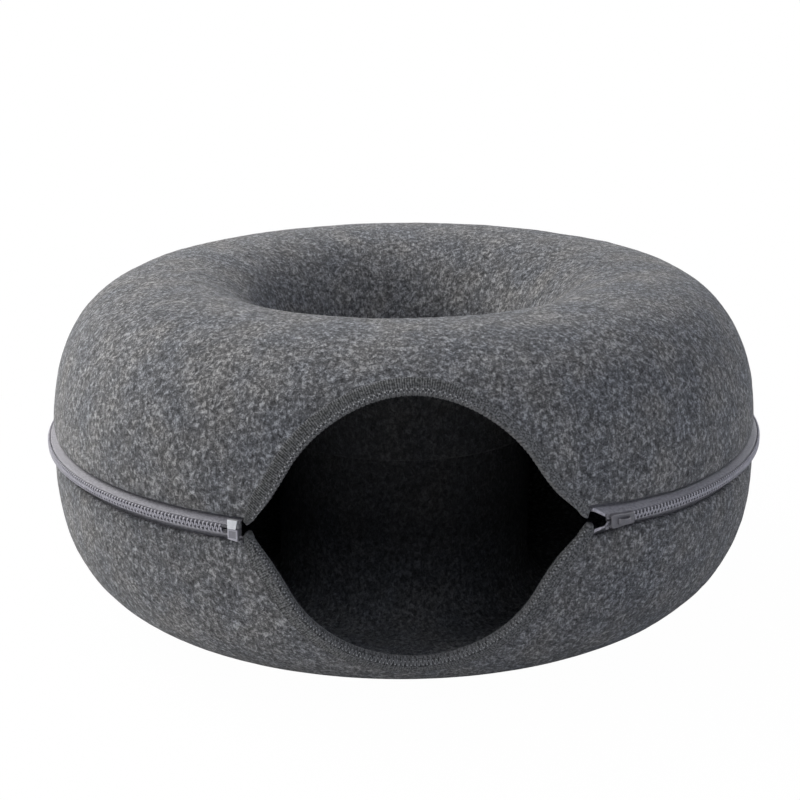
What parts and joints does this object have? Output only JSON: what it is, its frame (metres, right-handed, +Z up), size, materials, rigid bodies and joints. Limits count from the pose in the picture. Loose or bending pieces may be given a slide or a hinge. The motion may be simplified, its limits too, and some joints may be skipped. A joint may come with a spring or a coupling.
{
  "type": "donut cat tunnel",
  "caption": "Ring-shaped felt tunnel bed for a cat, in two moulded halves zipped together round the widest line, with a round hole in the middle and an eye-shaped mouth in front.",
  "frame": {"origin": "middle of the footprint, on the surface the tunnel stands on; the ring's own axis lies 10.2 mm nearer the mouth, at y = -0.0102, because the zip's band is missing at the mouth", "axes": "+Z up along the ring's axis, -Y out of the middle of the mouth, +X to the right of someone who looks into the mouth"},
  "size_m": [0.6038, 0.5833, 0.28],
  "materials": {
    "grey_felt": "matt grey needle felt, mottled light and dark",
    "knitted_binding": "matt dark grey knitted tape",
    "woven_zip_tape": "matt grey-violet woven tape",
    "nylon_teeth": "satin grey-violet nylon",
    "pale_moulding": "satin pale grey plastic",
    "painted_slider": "satin grey-violet paint on cast metal"
  },
  "bodies": {
    "lower_half": {"lower_shell": "grey_felt", "lower_opening_binding": "knitted_binding", "lower_zip_tape": "woven_zip_tape", "lower_zip_teeth": "nylon_teeth", "retainer_box": "pale_moulding", "lower_top_stop": "pale_moulding"},
    "upper_half": {"upper_shell": "grey_felt", "upper_opening_binding": "knitted_binding", "upper_zip_tape": "woven_zip_tape", "upper_zip_teeth": "nylon_teeth", "insertion_pin": "pale_moulding", "upper_top_stop": "pale_moulding"},
    "slider": {"slider_body": "painted_slider", "slider_back_plate": "painted_slider", "slider_crown": "painted_slider"}
  },
  "joints": [
    {"name": "slider_travel", "type": "hinge", "parent": "lower_half", "child": "slider", "pos_m": [0, -0.01022, 0.148], "axis": [0, 0, 1], "range_deg": [0, 301.4]},
    {"name": "upper_lift", "type": "slide", "parent": "lower_half", "child": "upper_half", "axis": [0, 0, 1], "range_m": [0, 0.25]}
  ]
}
